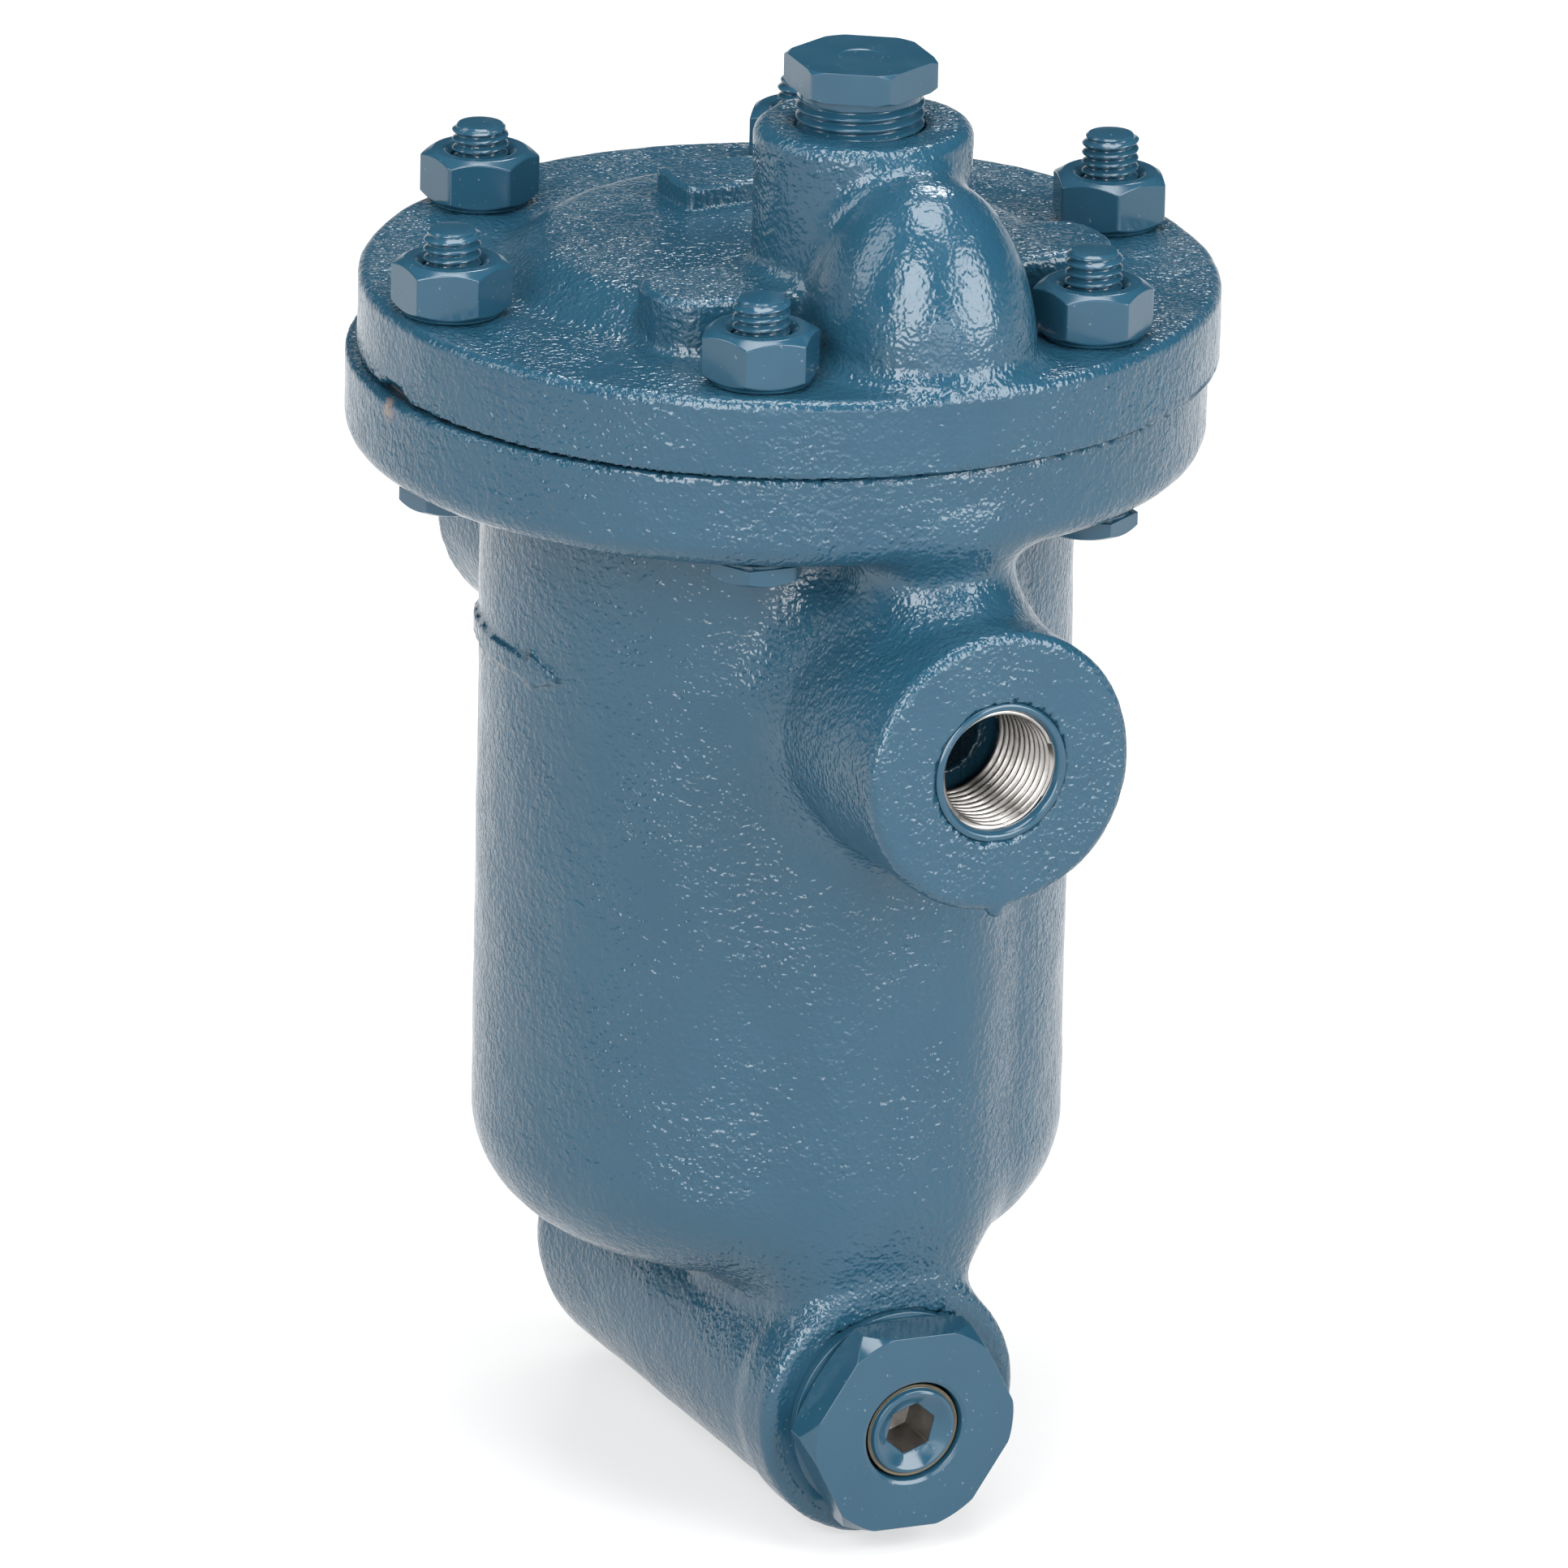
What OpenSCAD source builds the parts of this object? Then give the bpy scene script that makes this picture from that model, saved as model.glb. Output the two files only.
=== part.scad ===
// Inverted bucket steam trap: cast iron body with in-line threaded ports and a built-in strainer,
// six-bolt cap that carries the valve seat, lever and bucket.
// Origin: centre of the inlet port's face. +X is the flow direction, +Z is up. Millimetres.
// Most modules work from the body axis at the height of the cap joint; on_body_axis() places them.

/* [Pipe line] */
// Distance from the body axis to each port face
port_reach = 82.5; // [81:0.5:88]
// Depth of the pipe line below the cap joint
port_drop = 48.9; // [46:0.1:52]
// Radius of the threaded port, at the pitch line of a 1/2 inch pipe thread
port_r = 9.9; // [9.5:0.1:10.2]
// Depth of full thread in each port
port_thread_depth = 20; // [16:1:22]
// Outer radius of each port boss
port_boss_r = 23.7; // [20:0.1:25]

/* [Body] */
// Outer radius of the body barrel
barrel_r = 49.3; // [47:0.1:51]
// Wall thickness of the barrel
wall = 6.6; // [5:0.1:8]
// Depth of the body's domed bottom below the cap joint
body_depth = 152.4; // [150:0.1:156]
// Radius where the barrel turns into the bottom
bottom_round = 20; // [12:1:24]
// Depth of the bucket chamber's floor below the cap joint
floor_depth = 138; // [134:1:140]

/* [Flanges] */
// Outer radius of the body and cap flanges
flange_r = 71.4; // [70:0.1:73]
// Thickness of the body flange, from the cap joint
body_flange_t = 16.5; // [14:0.5:18]
// Thickness of the cap flange
cap_flange_t = 13.3; // [12:0.1:15]
// Thickness of the gasket between body and cap
gasket_t = 0.8; // [0.5:0.1:1.5]
// How far the cap rim stands off the body axis, along X and Y, as cast
cap_rim_shift = [1.4, 0.6]; // [0:0.1:2]
// How far the body rim stands off the body axis, along X and Y, as cast
body_rim_shift = [-0.3, -0.7]; // [-1:0.1:1]

/* [Cap bolts] */
// Number of bolts
bolt_count = 6; // [6]
// Radius of the bolt circle
bolt_circle_r = 60.7; // [60:0.1:61.5]
// Radius of a bolt shank
bolt_r = 4.75; // [4.5:0.05:5]
// Width across flats of a bolt head
bolt_head_af = 14.3; // [13:0.1:16]
// Height of a bolt head
bolt_head_h = 3.5; // [3:0.1:5]
// Width across flats of a nut
nut_af = 17.46; // [16:0.02:19]
// Height of a nut
nut_h = 9; // [8:0.1:10]
// How far each bolt stands out of its nut, counter-clockwise from the bolt at 30 degrees
bolt_stand_out = [5.6, 6.7, 5.3, 4.5, 5.2, 5.1]; // [4:0.1:7]
// How far each nut is turned, in the same order
nut_turn = [7, 41, 25, 4, 0, 20]; // [0:1:59]

/* [Cap] */
// Height of the cap's crown above its flange
crown_h = 6.6; // [6:0.1:8]
// Radius of the crown's foot
crown_r = 43.5; // [42:0.5:45]
// Distance of the valve seat's centre from the body axis
seat_x = 28.3; // [28:0.1:29]
// Radius of the boss over the valve seat
seat_boss_r = 17.8; // [17:0.1:19]
// Height of that boss above the cap joint
seat_boss_top = 46.7; // [45:0.1:48]
// Height of the outlet elbow above the cap joint
elbow_top = 42; // [40:0.5:44]
// Reach of the outlet elbow from the body axis
elbow_reach = 70; // [68:0.5:71]
// Height of the cap's three cast feet above the cap joint
foot_top = 22.8; // [22:0.1:24]

/* [Test plug] */
// Width across flats of the test plug
test_plug_af = 22.2; // [21:0.1:24]
// Height of the test plug's hexagon
test_plug_h = 5.2; // [4:0.1:7]
// Length of thread that shows under the hexagon
test_plug_neck = 5.9; // [4:0.1:8]
// How far the test plug stands off the seat's axis, along X and Y, as drilled
test_plug_shift = [-0.3, -0.6]; // [-1:0.1:1]
// Radius of the test plug's thread
test_plug_r = 10.45; // [10:0.05:10.6]

/* [Strainer] */
// Depth of the strainer's axis below the cap joint, on the body axis
strainer_drop = 168.5; // [167:0.5:170]
// Slope of the strainer down towards its mouth, in degrees
strainer_slope = 4.5; // [4:0.1:5]
// Outer radius of the strainer barrel at its mouth
strainer_r = 22; // [21:0.1:23]
// Outer radius of the strainer barrel at its closed end
strainer_back_r = 25; // [24:0.1:26]
// Reach of the barrel's closed end, behind the body axis
strainer_back = 45; // [44:0.5:48]
// Reach of the strainer's mouth, in front of the body axis
strainer_front = 46.3; // [46:0.1:48]
// Radius of the strainer chamber
chamber_r = 17.5; // [17:0.1:18]
// Width across flats of the strainer cap
strainer_cap_af = 34.9; // [34:0.1:37]
// Thickness of the strainer cap's hexagon
strainer_cap_h = 8; // [7:0.5:9]
// Outer radius of the strainer screen
screen_r = 14.5; // [14:0.1:15]
// Radius of the blowdown plug
blowdown_r = 8.5; // [8:0.05:9]

/* [Bucket and valve gear] */
// Outer radius of the bucket
bucket_r = 38; // [36:0.5:39]
// Height of the bucket
bucket_h = 115; // [110:1:116]
// Thickness of the bucket's sheet
bucket_t = 1.2; // [1:0.1:1.6]
// Rise of the bucket from its lowest place until the valve is shut
bucket_rise = 10; // [10]
// Distance of the lever's fulcrum from the body axis
fulcrum_x = 36.5; // [36.5]
// Depth of the lever's fulcrum below the cap joint
fulcrum_drop = 5.2; // [5.2]
// Slope of the lever down to the bucket with the valve open, in degrees
lever_slope = 7.5; // [7.5]

/* [Hidden] */
$fn = 96;
eps = 1;
running_gap = 0.05;
cast_paint = "#5b7a8c";
machined_paint = "#5f8096";
bare_steel = "#9a9a96";
stainless = "#b9babb";
gasket_grey = "#3a3d3f";
chamber_bore_r = barrel_r - wall;
bolt_hole_r = 5.2;
corner_r = 8;
rib_half_w = 16.7;
rib_edge = 9;
rib_x = 54;
rib_lean = 2.9;
tongue_x = 55.5;
tongue_r = 14;
inlet_rib_x = -55;
inlet_rib_r = 16;
inlet_bend = 18;
inlet_bend_drop = 152;
inlet_duct_x = -55;
inlet_duct_r = 7;
corner_relief = 0.4;
outlet_duct_x = 52.5;
outlet_duct_r = 5;
port_chamfer = 0.8;
port_taper_r = 8;
recess_r = 42;
recess_h = 7;
seat_shank_r = 6;
valve_chamber_floor = 14;
plug_bore_floor = 34;
bracket_t = 1.5;
bracket_half_w = 11;
tube_r = 9;
tube_bore_r = 7;
bucket_top = -21;
lever_t = 2;
lever_half_w = 4;
pin_r = 1.6;
valve_x = fulcrum_x - seat_x;
valve_lift = valve_x * tan(lever_slope);
shut_gap = 0.12;
stem_r = 1.6;
mouth_face = strainer_front;
hex_back = mouth_face + 3;
hex_front = hex_back + strainer_cap_h;
collar_r = 18.2;
strainer_plug_r = 18;
strainer_plug_len = 12;

// ---------- placing ----------

// Moves a shape from the body axis at the cap joint to the frame of the part.
module on_body_axis() {
  translate([port_reach, 0, port_drop]) children();
}

// Stands a shape on the strainer's axis, at a distance along it from the body axis.
module along_strainer(distance) {
  translate([0, 0, -strainer_drop]) rotate([0, 90 + strainer_slope, 0]) translate([0, 0, distance]) children();
}

// Lays a shape along +X on the pipe line; side is 1 for the outlet and -1 for the inlet.
module along_port(side) {
  translate([0, 0, -port_drop]) rotate([0, side * 90, 0]) children();
}

// Stands a shape on the test plug's axis.
module on_test_plug_axis() {
  translate([seat_x + test_plug_shift[0], test_plug_shift[1], 0]) children();
}

// Repeats a shape on the bolt circle; $bolt is the index of the bolt.
module on_bolt_circle() {
  for ($bolt = [0 : bolt_count - 1]) {
    rotate([0, 0, 30 + $bolt * 360 / bolt_count]) translate([bolt_circle_r, 0, 0]) children();
  }
}

// ---------- shared shapes ----------

// Disc with a rounded upper edge.
module rounded_disc(r, h, edge) {
  rotate_extrude() {
    square([r - edge, h]);
    square([r, h - edge]);
    translate([r - edge, h - edge]) circle(edge);
  }
}

// Hexagonal prism measured across flats, with a corner on the X axis.
module hex_prism(af, h) {
  cylinder(r = af / sqrt(3), h = h, $fn = 6);
}

// Hexagonal prism whose top corners are turned off at 30 degrees.
module hex_head(af, h) {
  corner_r = af / sqrt(3);
  flank_r = af / 2 * 0.97;
  slope_h = (corner_r - flank_r) * tan(30);
  intersection() {
    hex_prism(af, h);
    union() {
      cylinder(r = corner_r + eps, h = h - slope_h * (corner_r + eps - flank_r) / (corner_r - flank_r));
      translate([0, 0, h - slope_h * (corner_r + eps - flank_r) / (corner_r - flank_r)])
        cylinder(r1 = corner_r + eps, r2 = flank_r, h = slope_h * (corner_r + eps - flank_r) / (corner_r - flank_r));
    }
  }
}

// Outline of a bar along Y with rounded ends.
module bar_outline(width, length, end_r) {
  translate([-width / 2, -length / 2 + end_r]) square([width, length - 2 * end_r]);
  translate([-width / 2 + end_r, -length / 2]) square([width - 2 * end_r, length]);
  for (sx = [-1, 1], sy = [-1, 1]) {
    translate([sx * (width / 2 - end_r), sy * (length / 2 - end_r)]) circle(end_r);
  }
}

// ---------- body casting ----------

module body_flange() {
  translate([body_rim_shift[0], body_rim_shift[1], -gasket_t])
    mirror([0, 0, 1]) rounded_disc(flange_r, body_flange_t - gasket_t, 4);
}

module body_barrel() {
  translate([0, 0, -gasket_t - eps])
    mirror([0, 0, 1]) rounded_disc(barrel_r, body_depth - gasket_t - eps, bottom_round);
}

// Fillet ring under the flange.
module flange_fillet(fillet) {
  translate([0, 0, -body_flange_t - fillet]) rotate_extrude() {
    difference() {
      translate([barrel_r - eps, 0]) square([fillet + eps, fillet + eps]);
      translate([barrel_r + fillet, 0]) circle(fillet);
    }
  }
}

module port_boss(side) {
  root_x = 40;
  root_r = 28;
  root_len = 14;
  along_port(side) translate([0, 0, root_x]) {
    cylinder(r = port_boss_r, h = port_reach - root_x);
    cylinder(r1 = root_r, r2 = port_boss_r, h = root_len);
  }
}

// Web between the flange's rim and the top of a port boss; side as for the port.
module rim_tongue(side) {
  tongue_h = port_drop - body_flange_t + 2;
  translate([0, 0, -port_drop]) linear_extrude(height = tongue_h) {
    translate([side * tongue_x, 0]) circle(tongue_r);
    translate([side * tongue_x / 2, 0]) square([tongue_x, 2 * tongue_r], center = true);
  }
}

// Low rib in front that runs down to the strainer's mouth.
module outlet_rib() {
  rib_top = body_flange_t - 2;
  rib_h = strainer_drop - 5 - rib_top;
  rib_root = 20;
  translate([0, 0, -rib_top]) rotate([0, rib_lean, 0]) translate([rib_root, 0, -rib_h])
    linear_extrude(height = rib_h) {
      translate([0, -rib_half_w]) square([rib_x - rib_edge - rib_root, 2 * rib_half_w]);
      translate([0, rib_edge - rib_half_w]) square([rib_x - rib_root, 2 * (rib_half_w - rib_edge)]);
      for (side = [-1, 1]) translate([rib_x - rib_edge - rib_root, side * (rib_half_w - rib_edge)]) circle(rib_edge);
    }
}

// Rib behind that holds the inlet duct and bends into the strainer barrel's end.
module inlet_rib() {
  rib_top = body_flange_t - 2;
  translate([inlet_rib_x, 0, -inlet_bend_drop]) cylinder(r = inlet_rib_r, h = inlet_bend_drop - rib_top);
  translate([inlet_rib_x + inlet_bend, 0, -inlet_bend_drop]) rotate([90, 0, 0]) rotate([0, 0, 180])
    rotate_extrude(angle = 90) translate([inlet_bend, 0]) circle(inlet_rib_r);
}

// Barrel that widens towards its rounded closed end.
module strainer_barrel() {
  end_round = 12;
  barrel_len = strainer_back + strainer_front;
  inner_r = strainer_back_r - end_round;
  along_strainer(-strainer_back) rotate_extrude() {
    polygon([[0, 0], [inner_r, 0], [strainer_back_r, end_round], [strainer_r, barrel_len], [0, barrel_len]]);
    translate([inner_r, end_round]) circle(end_round);
  }
}

// Raised arrow that shows the flow direction, on the side of the barrel.
module flow_arrow() {
  intersection() {
    translate([0, 0, -60]) cylinder(r = barrel_r + 0.9, h = 24);
    translate([0, -barrel_r + 3, -port_drop]) rotate([90, 0, 0])
      linear_extrude(height = 8)
        polygon([[-13, -2], [5, -2], [5, -5.5], [13, 0], [5, 5.5], [5, 2], [-13, 2]]);
  }
}

module port_bore(side) {
  along_port(side) {
    translate([0, 0, port_reach - port_thread_depth - port_chamfer])
      cylinder(r = port_r, h = port_thread_depth);
    translate([0, 0, port_reach - port_chamfer])
      cylinder(r1 = port_r, r2 = port_r + port_chamfer, h = port_chamfer);
    translate([0, 0, port_reach]) cylinder(r = port_r + port_chamfer, h = eps);
    translate([0, 0, outlet_duct_x]) cylinder(r = port_taper_r, h = port_reach - outlet_duct_x - 18);
  }
}

module outlet_duct() {
  translate([outlet_duct_x, 0, -port_drop]) cylinder(r = outlet_duct_r, h = port_drop + eps);
}

module inlet_duct() {
  duct_foot = strainer_drop + inlet_duct_x * tan(strainer_slope);
  translate([inlet_duct_x, 0, -duct_foot]) cylinder(r = inlet_duct_r, h = duct_foot - port_drop);
  translate([inlet_duct_x, 0, -duct_foot]) sphere(inlet_duct_r + corner_relief);
  along_strainer(-55) cylinder(r = inlet_duct_r, h = 25);
}

module strainer_chamber() {
  along_strainer(-34) cylinder(r = chamber_r, h = 34 + strainer_front + eps);
  along_strainer(strainer_front - strainer_plug_len - 1)
    cylinder(r = strainer_plug_r + running_gap, h = strainer_plug_len + 1 + eps);
}

module body() {
  color(cast_paint) on_body_axis() difference() {
    union() {
      body_flange();
      body_barrel();
      flange_fillet(3);
      port_boss(1);
      port_boss(-1);
      rim_tongue(1);
      rim_tongue(-1);
      outlet_rib();
      inlet_rib();
      strainer_barrel();
      flow_arrow();
    }
    translate([0, 0, eps]) mirror([0, 0, 1]) rounded_disc(chamber_bore_r, floor_depth + eps, corner_r);
    port_bore(1);
    port_bore(-1);
    outlet_duct();
    inlet_duct();
    strainer_chamber();
    translate([0, 0, -floor_depth - 9]) cylinder(r = tube_r + running_gap, h = 9 + eps);
    translate([0, 0, -strainer_drop]) cylinder(r = tube_bore_r, h = strainer_drop - floor_depth);
    on_bolt_circle() translate([0, 0, -body_flange_t - eps]) cylinder(r = bolt_hole_r, h = body_flange_t + 2 * eps);
  }
}

// Nipple that leads the condensate from the strainer up into the bucket.
module inlet_tube() {
  color(stainless) on_body_axis() translate([0, 0, -floor_depth - 9]) difference() {
    cylinder(r = tube_r, h = 94);
    translate([0, 0, -eps]) cylinder(r = tube_bore_r, h = 94 + 2 * eps);
  }
}

module cap_gasket() {
  color(gasket_grey) on_body_axis() translate([0, 0, -gasket_t]) difference() {
    cylinder(r = flange_r - 3, h = gasket_t);
    translate([0, 0, -eps]) cylinder(r = chamber_bore_r, h = gasket_t + 2 * eps);
    translate([outlet_duct_x, 0, -eps]) cylinder(r = outlet_duct_r, h = gasket_t + 2 * eps);
    on_bolt_circle() translate([0, 0, -eps]) cylinder(r = bolt_hole_r, h = gasket_t + 2 * eps);
  }
}

module cap_bolts() {
  color(machined_paint) on_body_axis() on_bolt_circle() {
    translate([0, 0, -body_flange_t]) mirror([0, 0, 1]) hex_head(bolt_head_af, bolt_head_h);
    translate([0, 0, -body_flange_t])
      cylinder(r = bolt_r, h = body_flange_t + cap_flange_t + nut_h + bolt_stand_out[$bolt]);
  }
}

// ---------- cap casting ----------

module cap_flange() {
  translate([cap_rim_shift[0], cap_rim_shift[1], 0]) rounded_disc(flange_r, cap_flange_t, 1.6);
}

module cap_crown() {
  sphere_r = 600;
  intersection() {
    translate([0, 0, cap_flange_t - eps]) rounded_disc(crown_r, crown_h + eps, crown_h);
    translate([0, 0, cap_flange_t + crown_h - sphere_r]) sphere(sphere_r, $fn = 180);
  }
}

// Elbow from the seat boss over to the rim, round in side view and in plan.
module outlet_elbow() {
  shoulder = 24;
  half_w = 16;
  intersection() {
    linear_extrude(height = elbow_top) {
      translate([seat_x, -half_w]) square([elbow_reach - half_w - seat_x, 2 * half_w]);
      translate([elbow_reach - half_w, 0]) circle(half_w);
    }
    translate([0, half_w, 0]) rotate([90, 0, 0]) linear_extrude(height = 2 * half_w) {
      translate([seat_x, cap_flange_t - eps]) square([elbow_reach - seat_x, elbow_top - shoulder - cap_flange_t + eps]);
      translate([seat_x, cap_flange_t - eps]) square([elbow_reach - shoulder - seat_x, elbow_top - cap_flange_t + eps]);
      translate([elbow_reach - shoulder, elbow_top - shoulder]) circle(shoulder);
    }
  }
}

// Low bars beside the seat boss and one behind it, that let the cap stand level when it is turned over.
module cap_feet() {
  bar_w = 19;
  bar_low_y = -39.5;
  bar_high_y = 44;
  linear_extrude(height = foot_top) {
    translate([seat_x + 1, (bar_low_y + bar_high_y) / 2]) bar_outline(bar_w, bar_high_y - bar_low_y, 8);
    translate([-21.5, 0]) bar_outline(13, 20, 2);
  }
}

module cap() {
  color(cast_paint) on_body_axis() difference() {
    union() {
      cap_flange();
      cap_crown();
      cap_feet();
      translate([seat_x, 0, cap_flange_t - eps]) rounded_disc(seat_boss_r, seat_boss_top - cap_flange_t + eps, 2);
      outlet_elbow();
    }
    translate([0, 0, -eps]) cylinder(r = recess_r, h = recess_h + eps);
    translate([seat_x, 0, recess_h - eps]) cylinder(r = seat_shank_r, h = valve_chamber_floor);
    translate([seat_x, 0, valve_chamber_floor]) cylinder(r = tube_r, h = plug_bore_floor - valve_chamber_floor + eps);
    on_test_plug_axis() {
      translate([0, 0, plug_bore_floor])
        cylinder(r = test_plug_r + running_gap, h = seat_boss_top - plug_bore_floor + eps);
      translate([0, 0, seat_boss_top - 0.7]) cylinder(r1 = test_plug_r, r2 = test_plug_r + 1.7, h = 1.7);
    }
    translate([outlet_duct_x, 0, -eps]) cylinder(r = outlet_duct_r, h = 25 + eps);
    translate([seat_x, 0, 24]) rotate([0, 90, 0]) cylinder(r = outlet_duct_r, h = outlet_duct_x - seat_x);
    translate([outlet_duct_x, 0, 24]) sphere(outlet_duct_r);
    on_bolt_circle() translate([0, 0, -eps]) cylinder(r = bolt_hole_r, h = cap_flange_t + 2 * eps);
    for (side = [-1, 1]) translate([14, side * 7, recess_h - eps]) cylinder(r = 1.9, h = 6);
  }
}

module cap_nuts() {
  color(machined_paint) on_body_axis() on_bolt_circle() translate([0, 0, cap_flange_t])
    difference() {
      union() {
        cylinder(r = nut_af / 2 * 0.97, h = 1);
        translate([0, 0, 0.6]) rotate([0, 0, nut_turn[$bolt] - 30 - $bolt * 60]) hex_head(nut_af, nut_h - 0.6);
      }
      translate([0, 0, -eps]) cylinder(r = bolt_r + running_gap, h = nut_h + 2 * eps);
      translate([0, 0, nut_h - 0.8]) cylinder(r1 = bolt_r, r2 = bolt_r + 1.3, h = 1.3);
    }
}

// Screwed-in seat with the orifice that the valve shuts.
module valve_seat() {
  color(stainless) on_body_axis() translate([seat_x, 0, 0]) difference() {
    union() {
      translate([0, 0, -0.5]) cylinder(r1 = 3, r2 = 3.6, h = 2.5);
      translate([0, 0, 1.5]) hex_prism(14, 4);
      translate([0, 0, 5]) cylinder(r = seat_shank_r, h = valve_chamber_floor - 5);
    }
    translate([0, 0, -2]) cylinder(r = 1.5, h = 20);
    translate([0, 0, 8]) cylinder(r = 3, h = 10);
  }
}

// Plate under the cap with two ears that carry the lever's pins.
module guide_bracket() {
  color(stainless) on_body_axis() difference() {
    union() {
      translate([10, -bracket_half_w, recess_h - bracket_t]) cube([29, 2 * bracket_half_w, bracket_t]);
      for (side = [-1, 1]) translate([33, side * 8 - bracket_t / 2, -8.5]) cube([6, bracket_t, recess_h + 8]);
    }
    translate([seat_x, 0, recess_h - bracket_t - eps]) cylinder(r = seat_shank_r + 0.2, h = bracket_t + 2 * eps);
    for (side = [-1, 1]) translate([14, side * 7, recess_h - bracket_t - eps]) cylinder(r = 2, h = bracket_t + 2 * eps);
    translate([fulcrum_x, 12, -fulcrum_drop]) rotate([90, 0, 0]) cylinder(r = pin_r, h = 24);
  }
}

// Headed pins through the bracket's ears; the lever's hub turns on them.
module guide_pins() {
  color(stainless) on_body_axis() for (side = [-1, 1]) translate([fulcrum_x, side * 2.5, -fulcrum_drop])
    rotate([-side * 90, 0, 0]) {
      cylinder(r = pin_r, h = 6.25);
      translate([0, 0, 6.25]) cylinder(r = 2.6, h = 1.2);
    }
}

module bracket_screws() {
  color(stainless) on_body_axis() for (side = [-1, 1]) translate([14, side * 7, recess_h - bracket_t]) {
    mirror([0, 0, 1]) hex_prism(6, 2.4);
    cylinder(r = 1.85, h = 6);
  }
}

// ---------- bucket ----------

module bucket_shell() {
  vent_r = 1.2;
  color(stainless) on_body_axis() translate([0, 0, bucket_top]) difference() {
    mirror([0, 0, 1]) rounded_disc(bucket_r, bucket_h, 0.01);
    mirror([0, 0, 1]) translate([0, 0, bucket_t]) cylinder(r = bucket_r - bucket_t, h = bucket_h);
    translate([-16, 8, -5]) cylinder(r = vent_r, h = 10);
    for (side = [-1, 1]) translate([0, side * 7, -5]) cylinder(r = 1.5, h = 10);
  }
}

module bucket_weight_ring() {
  color(bare_steel) on_body_axis() translate([0, 0, bucket_top - bucket_h]) difference() {
    cylinder(r = bucket_r - bucket_t, h = 14);
    translate([0, 0, -eps]) cylinder(r = bucket_r - bucket_t - 6, h = 14 + 2 * eps);
  }
}

// Bent strap on the bucket's top whose slot hangs on the lever's tip.
module bucket_clip() {
  clip_h = 13.8;
  slot_low = 8.3;
  slot_high = 12.6;
  color(stainless) on_body_axis() translate([0, 0, bucket_top]) difference() {
    union() {
      translate([-4, -10, 0]) cube([8, 20, 1.2]);
      translate([-0.75, -4.5, 0]) cube([1.5, 9, clip_h]);
    }
    translate([-2, -2.6, slot_low]) cube([4, 5.2, slot_high - slot_low]);
    for (side = [-1, 1]) translate([0, side * 7, -eps]) cylinder(r = 1.5, h = 4);
  }
}

module clip_rivets() {
  color(bare_steel) on_body_axis() for (side = [-1, 1]) translate([0, side * 7, bucket_top]) {
    translate([0, 0, -bucket_t]) cylinder(r = 1.5, h = bucket_t + 1.2);
    translate([0, 0, 1.2]) cylinder(r1 = 2.4, r2 = 1.4, h = 1);
    translate([0, 0, -bucket_t - 1]) cylinder(r1 = 1.4, r2 = 2.4, h = 1);
  }
}

// ---------- lever and valve, drawn with the valve shut and let down by twice the lever's slope ----------

module at_fulcrum() {
  on_body_axis() translate([fulcrum_x, 0, -fulcrum_drop]) rotate([0, -2 * lever_slope, 0]) children();
}

module lever() {
  hub_r = 3;
  lever_len = fulcrum_x + 1.6;
  color(stainless) at_fulcrum() difference() {
    union() {
      translate([0, 6.6, 0]) rotate([90, 0, 0]) cylinder(r = hub_r, h = 13.2);
      rotate([0, lever_slope, 0]) {
        translate([-lever_len + 8, -lever_half_w, -lever_t / 2]) cube([lever_len - 8, 2 * lever_half_w, lever_t]);
        translate([-lever_len, -1.9, -lever_t / 2]) cube([9, 3.8, lever_t]);
        translate([-lever_len, -1.9, 0]) cube([0.7, 3.8, 1.7]);
      }
    }
    translate([0, 8, 0]) rotate([90, 0, 0]) cylinder(r = pin_r + running_gap, h = 16);
    translate([-valve_x, 0, valve_lift - 4]) cylinder(r = stem_r + running_gap, h = 8);
  }
}

// Round-nosed valve with a stem through the lever.
module valve() {
  nose_r = 2.6;
  nose_top = fulcrum_drop - 0.5 - shut_gap;
  color(stainless) at_fulcrum() translate([-valve_x, 0, 0]) {
    translate([0, 0, nose_top - nose_r]) intersection() {
      sphere(nose_r);
      translate([-4, -4, 0.5]) cube([8, 8, 5]);
    }
    translate([0, 0, valve_lift - 2.4]) cylinder(r = stem_r, h = nose_top - nose_r - valve_lift + 3.4);
  }
}

module valve_retainer() {
  color(bare_steel) at_fulcrum() translate([-valve_x, 0, valve_lift - 2.4]) difference() {
    cylinder(r = 3, h = 0.8);
    translate([0, 0, -eps]) cylinder(r = stem_r, h = 3);
  }
}

// ---------- plugs and strainer ----------

module test_plug() {
  shank_foot = 36;
  color(machined_paint) on_body_axis() on_test_plug_axis() {
    translate([0, 0, shank_foot]) cylinder(r = test_plug_r, h = seat_boss_top + test_plug_neck - shank_foot);
    translate([0, 0, seat_boss_top + test_plug_neck]) rotate([0, 0, -5.5]) hex_head(test_plug_af, test_plug_h);
  }
}

// Hexagon cap with a hollow threaded plug that holds the screen's end.
module strainer_cap() {
  color(machined_paint) on_body_axis() difference() {
    union() {
      along_strainer(hex_back) rotate([0, 0, 27.7]) hex_head(strainer_cap_af, strainer_cap_h);
      along_strainer(mouth_face + 1) cylinder(r = collar_r, h = hex_back - mouth_face - 1);
      along_strainer(mouth_face - strainer_plug_len) cylinder(r = strainer_plug_r, h = strainer_plug_len + 1.5);
    }
    along_strainer(mouth_face - strainer_plug_len - eps) cylinder(r = screen_r + 0.9, h = strainer_plug_len + eps);
    along_strainer(0) cylinder(r = blowdown_r + running_gap, h = hex_front + eps);
  }
}

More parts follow.
